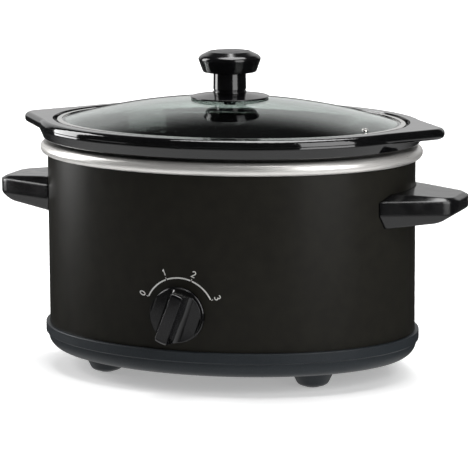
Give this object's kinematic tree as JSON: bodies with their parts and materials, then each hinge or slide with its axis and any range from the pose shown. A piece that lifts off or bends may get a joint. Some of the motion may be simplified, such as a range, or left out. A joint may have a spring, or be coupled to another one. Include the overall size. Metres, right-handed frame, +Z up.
{
  "type": "slow cooker",
  "caption": "Oval electric slow cooker with a black steel housing, silver rolled rim, lift-out glazed crock, domed glass lid with a round knob, side grips and a rotary dial.",
  "frame": {"origin": "on the surface that the feet stand on, under the middle of the whole outline; the oval's own centre is 8.0 mm behind it (+Y), because the dial stands out at the front", "axes": "+Z up, +X along the oval's long axis towards the right handle as seen from the front, -Y to the front, where the dial is"},
  "size_m": [0.3748, 0.2536, 0.2474],
  "materials": {
    "housing_enamel": "satin black stoved paint on sheet steel",
    "well_steel": "satin, spun round the rolled rim",
    "base_plastic": "fine satin moulding",
    "pad_rubber": "matt",
    "handle_plastic": "glossy moulding",
    "stoneware_glaze": "black glazed stoneware, opaque",
    "lid_glass": "clear toughened glass",
    "lid_steel": "polished thin strip",
    "knob_plastic": "glossy phenolic moulding",
    "badge_plastic": "satin disc",
    "silicone": "translucent silicone",
    "dial_plastic": "glossy moulding",
    "switch_plastic": "pale phenolic",
    "nut_brass": "nickel brass",
    "heater_cloth": "glass-cloth covered resistance band",
    "screw_steel": "zinc plated",
    "bracket_steel": "plain pressed strip",
    "lead_silicone": "silicone insulated leads",
    "bush_rubber": "moulded cord bush"
  },
  "bodies": {
    "base": {"base_pan": "base_plastic", "feet": "base_plastic", "foot_pads": "pad_rubber", "housing": "housing_enamel", "heating_well": "well_steel", "left_handle": "handle_plastic", "right_handle": "handle_plastic", "handle_washers": "screw_steel", "handle_screws": "screw_steel", "rotary_switch": "switch_plastic", "switch_nut": "nut_brass", "heater_band": "heater_cloth", "heater_clamp": "screw_steel", "thermal_fuse": "screw_steel", "fuse_clip": "screw_steel", "terminal_block": "switch_plastic", "internal_leads": "lead_silicone", "tie_bracket": "bracket_steel", "tie_screws": "screw_steel", "cord_entry": "bush_rubber"},
    "crock": {"crock": "stoneware_glaze"},
    "lid": {"lid_glass": "lid_glass", "lid_rim": "lid_steel", "vent_eyelet": "lid_steel", "knob_skirt": "knob_plastic", "lid_knob": "knob_plastic", "knob_badge": "badge_plastic", "knob_washer": "silicone", "knob_screw": "screw_steel"},
    "dial": {"control_dial": "dial_plastic", "switch_shaft": "screw_steel"}
  },
  "joints": [
    {"name": "dial_turn", "type": "hinge", "parent": "base", "child": "dial", "pos_m": [0, -0.1053, 0.0617], "axis": [0, 1, 0], "range_deg": [-86, 44]},
    {"name": "crock_lift", "type": "slide", "parent": "base", "child": "crock", "axis": [0, 0, 1], "range_m": [0, 0.115]},
    {"name": "lid_lift", "type": "slide", "parent": "crock", "child": "lid", "axis": [0, 0, 1], "range_m": [0, 0.06]}
  ]
}
